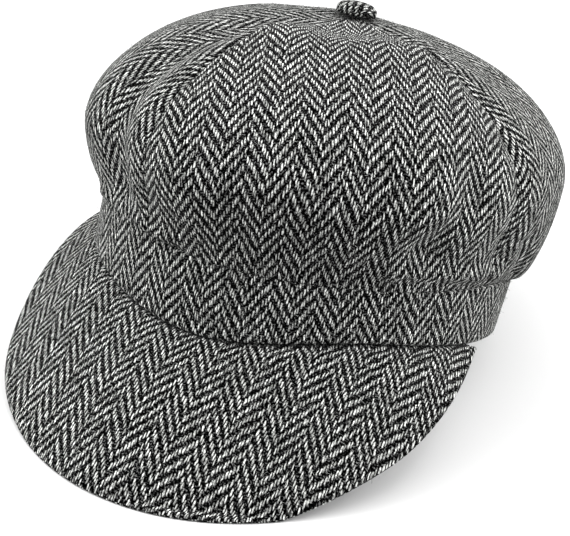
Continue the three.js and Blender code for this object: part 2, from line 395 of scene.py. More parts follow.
    def slackness(self, deg: Grid, up: Grid) -> Grid:
        """Low soft waves that slack cloth has everywhere.

        Args:
            deg: Angles round the cap.
            up: -1 at the crease, 0 at the widest part, 1 on top.

        Returns:
            How far they stand out.
        """
        chance = np.random.default_rng(self.slack_seed)
        waves = np.zeros(np.broadcast(deg, up).shape)
        for _ in range(self.slack_waves):
            turns = chance.integers(*self.slack_turns)
            rows = chance.uniform(-self.slack_rows, self.slack_rows)
            start = chance.uniform(0, 2 * math.pi)
            waves = waves + np.sin(np.radians(deg) * turns + up * rows + start)
        return self.slack * waves / 2

    def relief(self, deg: Grid, up: Grid) -> Grid:
        """How far the cloth stands out of the smooth crown.

        Args:
            deg: Angles round the cap.
            up: -1 at the crease, 0 at the widest part, 1 on top.

        Returns:
            The distance along the smooth normal: puffed panels, pulled seams, folds, dents and slack.
        """
        deg, up = np.broadcast_arrays(np.asarray(deg, float), np.asarray(up, float))
        starts = np.array([seam.deg for seam in SEAMS])
        widths = np.mod(np.roll(starts, -1) - starts, 360)
        valleys = np.array([seam.valley for seam in SEAMS])
        turned = np.mod(deg - starts[0], 360)
        start = np.searchsorted(starts - starts[0], turned, side="right") - 1
        past = turned - (starts[start] - starts[0])
        across = past / widths[start]
        tied = smoothstep(up, -1, self.puff_from) * (1 - smoothstep(up, *self.puff_fades))
        sunk = self.puff * np.abs(2 * across - 1) ** self.puff_power
        nearest = np.where(across < 0.5, start, (start + 1) % len(SEAMS))
        angle = np.radians(np.minimum(past, widths[start] - past))
        from_seam = angle * self.round_scale * self.dome_width(up)
        valley = valleys[nearest] * np.exp(-((from_seam / self.seam_width) ** 2))
        groove = self.seam_groove * np.exp(-((from_seam / self.seam_groove_width) ** 2))
        ripple = np.sin(up * self.up_scale * 2 * math.pi / self.pucker_length + nearest * 2)
        pucker = self.pucker * ripple * np.exp(-from_seam / self.seam_width)
        settled = smoothstep(up, -1, self.slack_from) * (1 - smoothstep(up, *self.slack_fades))
        soft = settled * (self.slackness(deg, up) + pucker - groove)
        return soft - tied * (sunk + valley) - self.fold_depth(deg, up)

    def lifted(self, points: Grid) -> Grid:
        """Cloth that would reach through the table is lifted onto it, straight up.

        Args:
            points: Points in the cap's frame.

        Returns:
            The same points, with none under the table.
        """
        angle = math.radians(self.pitch)
        up = np.array([0.0, -math.sin(angle), math.cos(angle)])
        below = np.maximum(-self.floor_drop - points @ up, 0)
        return points + below[..., None] * up

    def packed(self, points: Grid) -> Grid:
        """Takes points from the cap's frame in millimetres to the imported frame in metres.

        Args:
            points: Points with a last axis of three.

        Returns:
            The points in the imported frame.
        """
        lean = np.array(Matrix.Rotation(math.radians(-self.pitch), 3, "X"))
        return (points @ lean.T + np.array(self.rim_centre)) * MM


def linear(code: str) -> tuple[float, float, float, float]:
    """Turns an sRGB hex colour into linear values.

    Args:
        code: Colour such as #c8c4b8.

    Returns:
        Red, green, blue and alpha.
    """
    parts = [int(code[i : i + 2], 16) / 255 for i in (1, 3, 5)]
    red, green, blue = (p / 12.92 if p <= 0.04045 else ((p + 0.055) / 1.055) ** 2.4 for p in parts)
    return red, green, blue, 1.0


def add(tree: NodeTree, kind: str, links: dict, **settings: object) -> bpy.types.bpy_prop_collection:
    """Adds a node with its settings, values and links.

    Args:
        tree: The tree that gets the node.
        kind: Type of the node.
        links: Input by name or number, to the socket that feeds it or to its value.
        **settings: Properties of the node.

    Returns:
        The node's outputs.
    """
    node = tree.nodes.new(kind)
    for name, value in settings.items():
        setattr(node, name, value)
    for key, value in links.items():
        if isinstance(value, NodeSocket):
            tree.links.new(value, node.inputs[key])
        else:
            node.inputs[key].default_value = value
    return node.outputs


def blank_material(name: str) -> tuple[Material, NodeTree]:
    """Makes a material with an empty node tree.

    Args:
        name: Name of the material.

    Returns:
        The material and its tree.
    """
    made = bpy.data.materials.new(name)
    made.use_nodes = True
    made.node_tree.nodes.clear()
    return made, made.node_tree


def show(name: str, data: ID) -> Object:
    """Makes an object and adds it to the scene.

    Args:
        name: Name of the object.
        data: Its mesh, lamp or camera.

    Returns:
        The object.
    """
    made = bpy.data.objects.new(name, data)
    bpy.context.scene.collection.objects.link(made)
    return made


@dataclass(frozen=True)
class Step:
    """One step of a weave's arithmetic: a Math node on named results or numbers."""

    name: str
    operation: str
    first: str | float
    second: str | float = 0.0
    third: str | float = 0.0


@dataclass(frozen=True)
class HerringboneTweed:
    """Woollen tweed, a two and two twill whose slope turns at every column.

    The eye gets short light warp floats on dark weft in slanting rows, soft uneven yarns, and a dull fuzzy
    surface with no gloss. Lengths are in millimetres. wander, slide, narrowest and broader make the warp
    uneven, in shares of a yarn. streaks, patches and strays are noises, by their waves in a millimetre.
    fleck, the shade of the hollows and haze each turn a range of noise or of height into a range of light.
    The shade of the hollows is painted shade, darkest where yarns lie low and faintly light on their
    crowns.
    """

    ends_in_column: int = 9
    end_pitch: float = 0.972
    pick_pitch: float = 1.38
    float_picks: float = 2.3
    drift: float = 0.5
    drift_length: float = 9.0
    kink: float = 0.38
    kink_length: float = 1.7
    yarn_height: float = 0.5
    repeat: float = 4.0
    wander: float = 0.4
    slide: float = 0.6
    narrowest: float = 0.58
    broader: float = 0.35
    fullness: float = 0.7
    weft_level: float = 0.1
    weft_share: float = 0.8
    streaks: tuple[float, float, float] = (1.5, 1.2, 1.0)
    patches: float = 0.35
    strays: float = 1.4
    fleck: tuple[float, ...] = (0.3, 0.68, 0.1, 1.3)
    # Painted shade of the weave's hollows, by yarn height: dark where yarns lie low, a little light on
    # crowns
    painted_hollow_shade: tuple[float, ...] = (0.2, 0.78, 0.0, 1.1)
    haze: tuple[float, ...] = (0.56, 0.67, 0.0, 0.09)
    bump: float = 0.8
    warp_light: str = "#c9cac7"
    warp_shade: str = "#868784"
    weft_dark: str = "#020302"
    weft_soft: str = "#090a09"
    roughness: float = 1.0
    sheen: float = 0.03
    sheen_roughness: float = 0.25

    def steps(self) -> tuple[Step, ...]:
        """The weave's arithmetic, from a place on the cloth to its yarn on top and that yarn's height."""
        return (
            Step("end", "DIVIDE", "across", self.end_pitch),
            Step("pick", "DIVIDE", "along", self.pick_pitch),
            Step("end_number", "FLOOR", "end"),
            Step("pick_number", "FLOOR", "pick"),
            Step("end_share", "FRACT", "end"),
            Step("pick_share", "FRACT", "pick"),
            Step("columns", "DIVIDE", "end_number", self.ends_in_column),
            Step("column", "FLOOR", "columns"),
            Step("turned", "FLOORED_MODULO", "column", 2.0),
            Step("slope", "MULTIPLY_ADD", "turned", -2.0, 1.0),
            Step("column_start", "MULTIPLY", "column", self.ends_in_column),
            Step("end_in_column", "SUBTRACT", "end_number", "column_start"),
            Step("climb", "MULTIPLY_ADD", "end_in_column", "slope", "pick_number"),
            Step("place", "MULTIPLY_ADD", "turned", 2.0, "climb"),
            Step("phase", "FLOORED_MODULO", "place", self.repeat),
            Step("float_place", "ADD", "place", 1.0),
            Step("floats", "DIVIDE", "float_place", self.repeat),
            Step("float_number", "FLOOR", "floats"),
            Step("warp_shift", "MULTIPLY_ADD", "chance_x", self.wander, -0.5 - self.wander / 2),
            Step("warp_off", "ADD", "end_share", "warp_shift"),
            Step("warp_width", "MULTIPLY_ADD", "chance_y", self.broader, self.narrowest),
            Step("warp_across", "DIVIDE", "warp_off", "warp_width"),
            Step("warp_turn", "MULTIPLY", "warp_across", math.pi),
            Step("warp_round", "COSINE", "warp_turn"),
            Step("warp_round_kept", "MAXIMUM", "warp_round", 0.0),
            Step("float_phase", "FLOORED_MODULO", "float_place", self.repeat),
            Step("warp_run", "ADD", "float_phase", "pick_share"),
            Step("warp_slide", "MULTIPLY_ADD", "chance_z", self.slide, -2.0 - self.slide / 2),
            Step("warp_middle", "ADD", "warp_run", "warp_slide"),
            Step("warp_angle", "MULTIPLY", "warp_middle", math.pi / self.float_picks),
            Step("warp_arch", "COSINE", "warp_angle"),
            Step("warp_arch_kept", "MAXIMUM", "warp_arch", 0.0),
            Step("warp_swell", "MULTIPLY", "warp_arch_kept", "warp_round_kept"),
            Step("warp_height", "POWER", "warp_swell", self.fullness),
            Step("weft_on_top", "LESS_THAN", "warp_height", self.weft_level),
            Step("weft_centre", "SUBTRACT", "phase", 2.5),
            Step("weft_first", "MULTIPLY_ADD", "weft_centre", "slope", 0.5),
            Step("weft_run", "ADD", "weft_first", "end_share"),
            Step("weft_angle", "MULTIPLY", "weft_run", math.pi / 2),
            Step("weft_arch", "SINE", "weft_angle"),
            Step("weft_arch_kept", "MAXIMUM", "weft_arch", 0.0),
            Step("weft_side", "MULTIPLY", "pick_share", math.pi),
            Step("weft_round", "SINE", "weft_side"),
            Step("weft_swell", "MULTIPLY", "weft_arch_kept", "weft_round"),
            Step("weft_height", "MULTIPLY", "weft_swell", self.weft_share),
        )

    def material(self) -> Material:
        """Builds the tweed's node tree.

        Returns:
            The material.
        """
        made, tree = blank_material("herringbone_tweed")
        cloth = add(tree, "ShaderNodeUVMap", {}, uv_map=CLOTH_MAP)[0]
        placed = cloth
        for reach, length in ((self.drift, self.drift_length), (self.kink, self.kink_length)):
            waves = add(tree, NOISE, {"Vector": cloth, "Scale": 1 / length, "Detail": 1.0})["Color"]
            centred = add(tree, VECTOR, {0: waves, 1: (0.5, 0.5, 0.5)}, operation="SUBTRACT")[0]
            moved = {0: centred, 1: (2 * reach, 2 * reach, 0.0), 2: placed}
            placed = add(tree, VECTOR, moved, operation="MULTIPLY_ADD")[0]
        split = add(tree, "ShaderNodeSeparateXYZ", {0: placed})
        values: dict[str, NodeSocket] = {"across": split[0], "along": split[1]}
        for step in self.steps():
            if step.name == "warp_shift":
                numbers = {0: values["end_number"], 1: values["float_number"]}
                yarn = add(tree, "ShaderNodeCombineXYZ", numbers)[0]
                chance = add(tree, "ShaderNodeTexWhiteNoise", {"Vector": yarn}, noise_dimensions="2D")
                parts = add(tree, "ShaderNodeSeparateXYZ", {0: chance["Color"]})
                values.update(chance_x=parts[0], chance_y=parts[1], chance_z=parts[2])
            feeds = (step.first, step.second, step.third)
            links = {i: values[x] if isinstance(x, str) else x for i, x in enumerate(feeds)}
            values[step.name] = add(tree, MATH, links, operation=step.operation)[0]
        weft_on_top = values["weft_on_top"]
        heights = {0: weft_on_top, 2: values["warp_height"], 3: values["weft_height"]}
        height = add(tree, MIX, heights, data_type="FLOAT")[0]
        # Wool fibres are far finer than a pixel, so they are drawn about two thirds of a millimetre wide
        drawn = add(tree, VECTOR, {0: placed, 1: self.streaks}, operation="MULTIPLY")[0]
        streaky = {"Vector": drawn, "Scale": 1.0, "Detail": 1.0, "Roughness": 0.7}
        fibres = add(tree, NOISE, streaky)[0]
        patchy = {"Vector": cloth, "Scale": self.patches, "Detail": 3.0}
        patches = add(tree, NOISE, patchy)[0]
        warps = {0: chance[0], 6: linear(self.warp_light), 7: linear(self.warp_shade)}
        warp = add(tree, MIX, warps, data_type="RGBA")[2]
        wefts = {0: patches, 6: linear(self.weft_dark), 7: linear(self.weft_soft)}
        weft = add(tree, MIX, wefts, data_type="RGBA")[2]
        woven = add(tree, MIX, {0: weft_on_top, 6: warp, 7: weft}, data_type="RGBA")[2]
        fleck = add(tree, RANGE, dict(enumerate((fibres, *self.fleck))))[0]
        # Painted shade: darker where the yarns lie low between others, a little lighter on their crowns; it
        # multiplies the random fibre flecks
        painted_hollow_shade = add(tree, RANGE, dict(enumerate((height, *self.painted_hollow_shade))))[0]
        fleck_and_painted_shade = add(tree, MATH, {0: fleck, 1: painted_hollow_shade}, operation="MULTIPLY")[0]
        yarns = add(tree, VECTOR, {0: woven, "Scale": fleck_and_painted_shade}, operation="SCALE")[0]
        stray = {"Vector": cloth, "Scale": self.strays, "Detail": 1.0, "Roughness": 0.6}
        loose = add(tree, NOISE, stray)[0]
        haze = add(tree, RANGE, dict(enumerate((loose, *self.haze))))[0]
        colour = add(tree, VECTOR, {0: yarns, 1: haze}, operation="ADD")[0]
        raised = {"Height": height, "Distance": self.yarn_height * MM, "Strength": self.bump}
        look = {
            "Base Color": colour,
            "Roughness": self.roughness,
            "Specular IOR Level": 0.0,
            "Sheen Weight": self.sheen,
            "Sheen Roughness": self.sheen_roughness,
            "Normal": add(tree, "ShaderNodeBump", raised)[0],
        }
        add(tree, SURFACE, {"Surface": add(tree, PRINCIPLED, look)[0]})
        return made


@dataclass
class ClothWall:
    """A closed wall of cloth between an outside and an inside grid of points in the cap's frame.

    flat holds the outside's places on the cloth, with one column more where the wall closes round.
    """

    outside: Grid
    inside: Grid
    flat: Grid
    closes_round: bool = False

    def faces(self) -> tuple[Grid, Grid, Grid]:
        """The wall's quads.

        Returns:
            Their points, the place on the cloth of each corner, and which quads are outside.
        """
        rows, columns = self.outside.shape[:2]
        points = np.arange(rows * columns).reshape(rows, columns)
        if self.closes_round:
            points = np.concatenate([points, points[:, :1]], axis=1)
        places = np.arange(self.flat.shape[0] * self.flat.shape[1]).reshape(self.flat.shape[:2])
        behind = places + places.size
        inner = points + rows * columns

        def ring(low_a: Grid, low_b: Grid, high_b: Grid, high_a: Grid) -> Grid:
            """Stacks four corners of many quads."""
            return np.stack([low_a, low_b, high_b, high_a], axis=-1).reshape(-1, 4)

        def sheet(grid: Grid) -> Grid:
            """Quads of a grid, seen from outside."""
            return ring(grid[:-1, :-1], grid[:-1, 1:], grid[1:, 1:], grid[1:, :-1])

        corner = [sheet(points), sheet(inner)[:, ::-1]]
        place = [sheet(places), sheet(behind)[:, ::-1]]
        for near, far, kept in ((points, inner, corner), (places, behind, place)):
            edges = [(near[0], far[0]), (far[-1], near[-1])]
            if not self.closes_round:
                edges += [(far[:, 0], near[:, 0]), (near[:, -1], far[:, -1])]
            for a, b in edges:
                kept.append(ring(a[:-1], b[:-1], b[1:], a[1:]))
        outer = np.zeros(sum(len(c) for c in corner), dtype=bool)
        outer[: len(corner[0])] = True
        return np.concatenate(corner), np.concatenate(place), outer

    def build(self, node: Piece, form: CapForm, lay: Lay, finish: Material) -> Object:
        """Makes the wall's mesh, with its places on the cloth as a UV map in millimetres.

        Args:
            node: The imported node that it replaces.
            form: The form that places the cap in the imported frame.
            lay: How the piece was cut out of the cloth.
            finish: Its material.

        Returns:
            The object, set in the frame.
        """
        corner, place, outer = self.faces()
        points = np.concatenate([self.outside.reshape(-1, 3), self.inside.reshape(-1, 3)])
        name = node.value + "_cloth"
        mesh = bpy.data.meshes.new(name)
        mesh.from_pydata(form.packed(points).tolist(), [], corner.tolist())
        flat = np.concatenate([self.flat.reshape(-1, 2), self.flat.reshape(-1, 2) - (0, form.cloth)])
        woven = lay.of(flat)[place.reshape(-1)]
        mesh.uv_layers.new(name=CLOTH_MAP).data.foreach_set("uv", woven.astype(np.float32).reshape(-1))
        mesh.attributes.new(OUTSIDE, "BOOLEAN", "FACE").data.foreach_set("value", outer)
        mesh.polygons.foreach_set("use_smooth", np.ones(len(corner), dtype=bool))
        mesh.materials.append(finish)
        mesh.validate()
        made = show(name, mesh)
        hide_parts(node.value)
        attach(made, BODY)
        log.info("%s: %d faces", made.name, len(mesh.polygons))
        return made

    def dress(self, made: Object, held: Held, rests_on: Piece) -> None:
        """Args:
            made: The wall's object. Not used.
            held: How the sheet is held. Not used.
            rests_on: The piece that it rests on. Not used.
        """


def eased(points: Grid, start: Grid, rounds: int) -> Grid:
    """Eases flat places until the lengths between neighbours are as near the cloth's as a flat cut allows.

    Args:
        points: Grid of points with a last axis of three.
        start: First guess of their flat places, with a last axis of two.
        rounds: How often the lengths are eased.

    Returns:
        The flat places.
    """
    flat = start.copy()
    every, first, last = slice(None), slice(None, -1), slice(1, None)
    pairs = (
        (first, last, every, every),
        (every, every, first, last),
        (first, last, first, last),
        (first, last, last, first),
    )
    lengths = [np.linalg.norm(points[b, d] - points[a, c], axis=-1) for a, b, c, d in pairs]
    for _ in range(rounds):
        move = np.zeros_like(flat)
        count = np.zeros(flat.shape[:2])
        for (a, b, c, d), length in zip(pairs, lengths):
            span = flat[b, d] - flat[a, c]
            now = np.maximum(np.linalg.norm(span, axis=-1), 1e-6)
            pull = span * (0.5 * (1 - length / now))[..., None]
            move[a, c] += pull
            move[b, d] -= pull
            count[a, c] += 1
            count[b, d] += 1
        flat += move / count[..., None]
    return flat


def flattened(points: Grid, start: Grid) -> Grid:
    """Lays a grid of points flat, first in wide steps and then in narrow ones.

    Args:
        points: Grid of points with a last axis of three.
        start: First guess of their flat places, with a last axis of two.

    Returns:
        The flat places.
    """
    flat = start.astype(float)
    tall = running_length(points, axis=0)[:, points.shape[1] // 2]
    broad = running_length(points, axis=1)[points.shape[0] // 3]
    for step in FLAT_STEPS:
        rows, columns = (np.unique(np.append(np.arange(0, n, step), n - 1)) for n in points.shape[:2])
        few = eased(points[np.ix_(rows, columns)], flat[np.ix_(rows, columns)], FLAT_ROUNDS)
        wide = np.empty((len(rows), len(broad), 2))
        for k, i in np.ndindex(2, len(rows)):
            wide[i, :, k] = np.interp(broad, broad[columns], few[i, :, k])
        for k, j in np.ndindex(2, len(broad)):
            flat[:, j, k] = np.interp(tall, tall[rows], wide[:, j, k])
    return flat


def third_corner(a: complex, b: complex, from_a: Grid, from_b: Grid, to: Grid, side: int) -> complex:
    """Lays the third corner of a triangle flat, when two corners lie flat already.

    Args:
        a: Flat place of the first corner.
        b: Flat place of the second corner.
        from_a: Point of the first corner.
        from_b: Point of the second corner.
        to: Point of the third corner.
        side: 1 if it lies to the left, seen from the first corner to the second, and -1 if to the right.

    Returns:
        Flat place of the third corner.
    """
    base = np.linalg.norm(from_b - from_a)
    run = np.dot(to - from_a, from_b - from_a) / base
    rise = math.sqrt(max(np.dot(to - from_a, to - from_a) - run**2, 0))
    return a + (run + 1j * side * rise) * (b - a) / abs(b - a)


@dataclass
class Crown:
    """The four sewn panels of the full crown."""

    form: CapForm
    finish: Material
    columns: int = 140
    tuck_rows: int = 60
    dome_rows: int = 110
    top_radius: float = 1.5
    half_gap: float = 0.05
    even_share: float = 0.35
    panels: dict[Piece, Object] = field(default_factory=dict)

    def panel_wall(self, start: float, width: float) -> ClothWall:
        """One panel from the crease to the button, with its flat places along its middle line.

        Args:
            start: Angle of the seam where it starts.
            width: Degrees to the next seam.

        Returns:
            The wall.
        """
        share = self.top_radius / self.form.half_width
        top = 2 / math.pi * math.acos(share ** (self.form.dome_roundness / 2))
        tuck = np.linspace(-1, 0, self.tuck_rows, endpoint=False)
        ups = np.concatenate([tuck, np.linspace(0, top, self.dome_rows)])[:, None]
        even = np.linspace(0, 1, self.columns + 1)
        crowded = 0.5 - 0.5 * np.cos(np.pi * even)
        across = self.even_share * even + (1 - self.even_share) * crowded
        radius = self.form.half_width * self.form.dome_width(ups)
        edge = np.degrees(self.half_gap / radius)
        deg = start + edge + across[None, :] * (width - 2 * edge)
        ups = np.broadcast_to(ups, deg.shape)
        smooth = self.form.smooth_crown(deg, ups)
        normal = self.form.smooth_normal(deg, ups)
        relief = self.form.relief(deg, ups)[..., None]
        outside = smooth + normal * relief
        inside = smooth + normal * (relief - self.form.cloth)
        middle = self.columns // 2
        sideways = running_length(outside, axis=1)
        sideways = sideways - sideways[:, middle : middle + 1]
        upward = np.broadcast_to(running_length(outside, axis=0)[:, middle : middle + 1], sideways.shape)
        flat = flattened(outside, np.stack([sideways, upward], axis=-1))
        flat = flat - flat[0, middle]
        lean = math.degrees(math.atan2(flat[-1, middle, 0], flat[-1, middle, 1]))
        return ClothWall(outside, inside, Lay(turn=lean).of(flat))

    def build(self) -> None:
        """Makes every panel."""
        for number, seam in enumerate(SEAMS):
            following = SEAMS[(number + 1) % len(SEAMS)].deg
            wall = self.panel_wall(seam.deg, (following - seam.deg) % 360)
            made = wall.build(seam.panel, self.form, seam.lay, self.finish)
            wall.dress(made, Held.GATHERED, Piece.BAND)
            self.panels[seam.panel] = made


@dataclass
class Band:
    """The head band, an upright strip of the same cloth with a turned lower edge."""

    form: CapForm
    finish: Material
    lay: Lay
    middle_deg: float
    columns: int = 420
    rows: int = 24
    hem_radius: float = 1.2
    allowance: float = 2.0
    allowance_cloth: float = 0.8
    hem_inside: float = 0.4
    thins_from: float = 0.8

    def wall(self) -> ClothWall:
        """The strip from its lower edge to the crease, with its seam allowance behind the crown.

        Returns:
            The wall, which closes round.
        """
        form = self.form
        deg = np.linspace(0, 360, self.columns + 1)[None, :] + self.middle_deg - 180
        share = np.linspace(0, 1, self.rows)[:, None]
        low = form.section("rim", deg)
        high = form.section("crease", deg)
        height = low + (high - low) * share
        from_low = np.clip((height - low) / self.hem_radius, 0, 1)
        turned = self.hem_radius * (1 - np.sqrt(1 - (1 - from_low) ** 2))
        drawn_in = np.maximum(form.section("flare", deg), 0) * (1 - share)
        behind = form.cloth * (2 - np.clip(form.section("soft", deg), 0, 1)) + form.gap
        thin = self.allowance_cloth
        outside = [
            form.on_band(deg, drawn_in + turned, height),
            form.on_band(deg, behind, high),
            form.on_band(deg, behind, high + self.allowance),
        ]
        bevel = thin * smoothstep(share, self.thins_from, 1)
        inside = [
            form.on_band(deg, drawn_in + form.cloth - self.hem_inside * turned, height - bevel),
            form.on_band(deg, behind + thin, high - thin),
            form.on_band(deg, behind + thin, high + self.allowance),
        ]
        outside, inside = (form.lifted(np.concatenate(rows)[:, :-1]) for rows in (outside, inside))
        ring = form.on_band(deg[0], np.full(deg.shape[1], form.cloth), np.zeros(deg.shape[1]))
        along = running_length(ring[None], axis=1)
        along = along - along[:, self.columns // 2 : self.columns // 2 + 1]
        upward = np.concatenate([height - high, behind, behind + self.allowance])
        flat = np.stack(np.broadcast_arrays(along, upward), axis=-1)
        return ClothWall(outside, inside, flat, closes_round=True)

    def build(self) -> Object:
        """Makes the band.

        Returns:
            The band.
        """
        wall = self.wall()
        made = wall.build(Piece.BAND, self.form, self.lay, self.finish)
        wall.dress(made, Held.STRETCHED, Piece.PEAK)
        return made


@dataclass
class Peak:
    """The stiff rounded peak: a crescent board covered with the same cloth."""

    form: CapForm
    finish: Material
    lay: Lay
    reach: float = 138.7
    swell: float = 12.0
    tip_power: float = 0.88
    end: float = 82.0
    end_width: float = 2.0
    camber: float = 3.7
    thickness: float = 4.2
    edge_thickness: float = 2.2
    drops: tuple[float, ...] = (34.0, 54.0, 58.2, 58.5, 29.0)
    columns: int = 220
    rows: int = 70
    groove: float = 1.6
    groove_width: float = 2.2
    groove_right: float = 0.4
    groove_full: float = 0.35
    groove_fades: tuple[float, float] = (0.75, 0.97)
    thins_from: float = 0.5
    row_power: float = 1.7
    round_share: float = 0.4
    blunt: float = 0.02

    def edge(self, along: Grid) -> Grid:
        """Outer edge of the board.

        Args:
            along: -1 at the right point, 0 at the tip, 1 at the left point.

        Returns:
            Points of the edge.
        """
        form = self.form
        angle = along * np.pi / 2
        forward = np.maximum(np.cos(angle), 0)
        corner = form.on_band(np.array(self.end), np.array(0.0), np.array(0.0))
        ends = [-float(form.section("rim", np.array(deg))) for deg in (-self.end, self.end)]
        stations = np.array([ends[0], *self.drops, ends[1]])
        last = len(stations) - 1
        place = np.minimum((along + 1) / 2 * last, last - 1e-9)
        first = np.floor(place).astype(int)
        near = [stations[np.clip(first + step, 0, last)] for step in (-1, 0, 1, 2)]
        drop = spline(*near, place - first)
        swell = self.swell * 4 * forward * (1 - forward)
        x = np.sin(angle) * (corner[0] + self.end_width + swell)
        y = corner[1] + (-self.reach - corner[1]) * forward**self.tip_power
        return np.stack([x, y, -drop], axis=-1)

    def board(self, along: Grid, out: Grid) -> tuple[Grid, Grid]:
        """Upper and lower side of the board.

        Args:
            along: -1 at the right point to 1 at the left point, along the last axis.
            out: 0 at the band to 1 at the edge, along the first axis.

        Returns:
            Points of the upper and of the lower side.
        """
        form = self.form
        deg = along * self.end
        seam = form.on_band(deg, np.zeros_like(deg), form.section("rim", deg) - form.gap)
        top = seam + (self.edge(along) - seam) * out[..., None]
        top[..., 2] += self.camber * 4 * out * (1 - out) * (1 - along**2)
        thin = smoothstep(out, self.thins_from, 1)
        bottom = top.copy()
        bottom[..., 2] -= self.thickness + (self.edge_thickness - self.thickness) * thin
        lift = form.lifted(bottom) - bottom
        return top + lift, bottom + lift

    def wall(self) -> ClothWall:
        """The covered board, with a rounded edge, a groove at the band and a strip sewn under it.

        Returns:
            The wall.
        """
        form = self.form
        along = np.sin(np.linspace(-1, 1, self.columns + 1) * np.pi / 2)[None, :]
        out = 1 - np.linspace(0, 1, self.rows)[:, None] ** self.row_power
        along, out = np.broadcast_arrays(along, out)
        top, bottom = self.board(along, out)
        middle = (top + bottom) / 2
        half = (top - bottom) / 2
        from_edge = running_length(top, axis=0)
        radius = np.minimum(self.edge_thickness / 2, self.round_share * from_edge[-1:])
        nearness = np.clip(1 - from_edge / radius, 0, 1)
        round_edge = np.sqrt(np.maximum(1 - nearness**2, self.blunt))
        top = middle + half * round_edge[..., None]
        bottom = middle - half * round_edge[..., None]
        from_band = running_length(top[::-1], axis=0)[::-1]
        pulled = self.groove_right + (1 - self.groove_right) * smoothstep(along, 0, self.groove_full)
        pulled = pulled * (1 - smoothstep(np.abs(along), *self.groove_fades))
        top[..., 2] -= self.groove * pulled * np.exp(-((from_band / self.groove_width) ** 2))
        deg = along[0] * self.end
        inset = np.maximum(form.section("flare", deg), 0) + form.cloth + form.gap
        strip = form.on_band(deg, inset, form.section("rim", deg) - form.gap)
        under = strip - np.array([0, 0, self.thickness])
        top = np.concatenate([top, strip[None]])
        bottom = np.concatenate([bottom, under[None]])
        return ClothWall(top, bottom, self.cut(top, out[:, 0]))

    def cut(self, top: Grid, out: Grid) -> Grid:
        """The flat cut of the upper side: the board bends one way only, so its straight lines unroll flat.

        Args:
            top: Its grid of points, from the edge to the strip under the band.
            out: Share of the way from the band to the edge, for each row.

        Returns:
            Their flat places in millimetres.
        """
        edge, seam = top[0], top[-2]
        middle = top.shape[1] // 2
        flat = np.zeros((2, top.shape[1]), dtype=complex)
        flat[0, middle] = -1j * np.linalg.norm(edge[middle] - seam[middle])
        for side in (1, -1):
            last = top.shape[1] - 1 if side > 0 else 0
            for now in range(middle, last, side):
                near, far = flat[1, now], flat[0, now]
                after = now + side
                far_next = third_corner(near, far, seam[now], edge[now], edge[after], side)
                flat[0, after] = far_next
                flat[1, after] = third_corner(near, far_next, seam[now], edge[after], seam[after], side)
        line = flat[0] - flat[1]
        share = np.append(out, 0)[:, None]
        places = flat[1] + line * share
        places[-1] -= np.linalg.norm(top[-1] - seam, axis=-1) * line / np.abs(line)
        return np.stack([places.real, places.imag], axis=-1)

    def build(self) -> Object:
        """Makes the peak and returns it."""
        return self.wall().build(Piece.PEAK, self.form, self.lay, self.finish)


@dataclass
class Button:
    """The covered button on top: a low dome of cloth drawn round a disc."""

    form: CapForm
    finish: Material
    radius: float = 8.5
    height: float = 5.2
    columns: int = 64
    rows: int = 24
    lay: Lay = Lay(turn=20.0)
    point: float = 0.05
    side_power: float = 0.75
    top_power: float = 0.9
    rim_share: float = 0.3

    def wall(self) -> ClothWall:
        """The dome as a closed wall over a flat underside.

        Returns:
            The wall, which closes round.
        """
        turn = np.linspace(0, 2 * np.pi, self.columns + 1)[None, :]
        arc = np.linspace(0, 1, self.rows)[:, None]
        angle = arc * np.pi / 2
        radius = np.maximum(self.radius * np.cos(angle) ** self.side_power, self.point)
        domed = (1 - self.rim_share) * np.sin(angle) ** self.top_power
        height = self.height * (self.rim_share + domed)
        x, y = self.form.top_shift
        base = self.form.crown_top + self.form.gap
        round_it = (x + radius * np.sin(turn), y - radius * np.cos(turn), base + height)
        outside = np.stack(np.broadcast_arrays(*round_it), axis=-1)
        inside = outside.copy()
        inside[..., 2] = base
        from_top = running_length(outside[::-1], axis=0)[::-1]
        flat = np.stack([from_top * np.sin(turn), -from_top * np.cos(turn)], axis=-1)
        return ClothWall(outside[:, :-1].copy(), inside[:, :-1].copy(), flat, closes_round=True)

    def build(self) -> Object:
        """Makes the button and returns it."""
        return self.wall().build(Piece.BUTTON, self.form, self.lay, self.finish)


